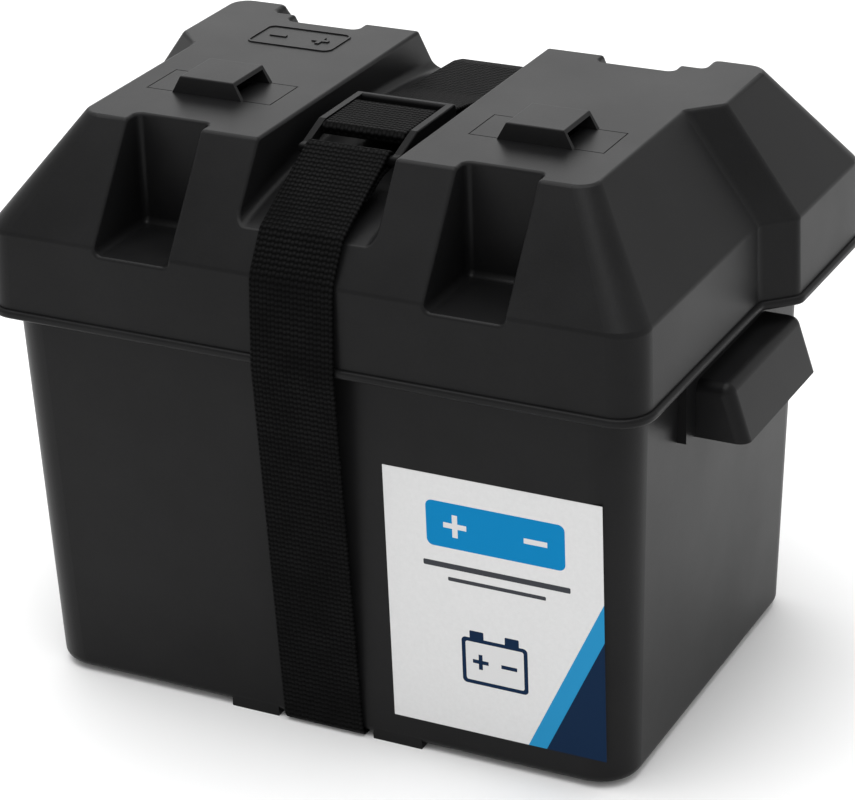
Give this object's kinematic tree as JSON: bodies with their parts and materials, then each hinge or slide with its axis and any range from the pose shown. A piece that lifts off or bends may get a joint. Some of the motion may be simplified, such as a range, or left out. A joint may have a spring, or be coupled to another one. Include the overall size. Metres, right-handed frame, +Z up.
{
  "type": "battery in strapped battery box",
  "caption": "Deep cycle battery inside a lidded plastic box, held shut by a webbing strap with a slide buckle.",
  "frame": {"origin": "middle of the overall footprint, on the surface that the box stands on", "axes": "+Z up, +X along the long side, towards the open ends of the vent hoods; -Y is the labelled front"},
  "size_m": [0.3396, 0.2319, 0.2647],
  "materials": {
    "box_plastic": "satin",
    "buckle_plastic": "gloss",
    "webbing": "woven",
    "label_sheet": "coated",
    "case_plastic": "satin",
    "cap_plastic": "satin",
    "lead": "cast lead",
    "positive_paste": "matte paste",
    "negative_paste": "matte paste",
    "separator_sheet": "matte",
    "steel": "plated",
    "seal_rubber": "matte"
  },
  "bodies": {
    "box": {"tub": "box_plastic", "tub_label": "label_sheet", "strap_around_tub": "webbing", "battery_case": "case_plastic", "battery_cover": "case_plastic", "battery_label": "label_sheet", "positive_plates": "positive_paste", "negative_plates": "negative_paste", "separators": "separator_sheet", "positive_plate_straps": "lead", "negative_plate_straps": "lead", "cell_connectors": "lead", "terminal_bushings": "lead", "positive_terminal": "lead", "negative_terminal": "lead", "positive_stud": "steel", "negative_stud": "steel", "spring_washers": "steel"},
    "lid": {"lid": "box_plastic", "left_vent_hood": "box_plastic", "right_vent_hood": "box_plastic", "strap_front": "webbing", "strap_back": "webbing", "strap_buckle": "buckle_plastic"},
    "left_cap": {"left_vent_cap": "cap_plastic", "left_vent_seals": "seal_rubber", "left_vent_baffles": "separator_sheet"},
    "right_cap": {"right_vent_cap": "cap_plastic", "right_vent_seals": "seal_rubber", "right_vent_baffles": "separator_sheet"},
    "positive_nut": {"positive_wing_nut": "steel"},
    "negative_nut": {"negative_wing_nut": "steel"}
  },
  "joints": [
    {"name": "lid_lift", "type": "slide", "parent": "box", "child": "lid", "axis": [0, 0, 1], "range_m": [0, 0.075]},
    {"name": "left_cap_lift", "type": "slide", "parent": "box", "child": "left_cap", "axis": [0, 0, 1], "range_m": [0, 0.02]},
    {"name": "right_cap_lift", "type": "slide", "parent": "box", "child": "right_cap", "axis": [0, 0, 1], "range_m": [0, 0.02]},
    {"name": "positive_nut_turn", "type": "hinge", "parent": "box", "child": "positive_nut", "pos_m": [-0.108, 0.01715, 0.2145], "axis": [0, 0, 1], "continuous": true},
    {"name": "negative_nut_turn", "type": "hinge", "parent": "box", "child": "negative_nut", "pos_m": [0.108, 0.01715, 0.2145], "axis": [0, 0, 1], "continuous": true}
  ]
}
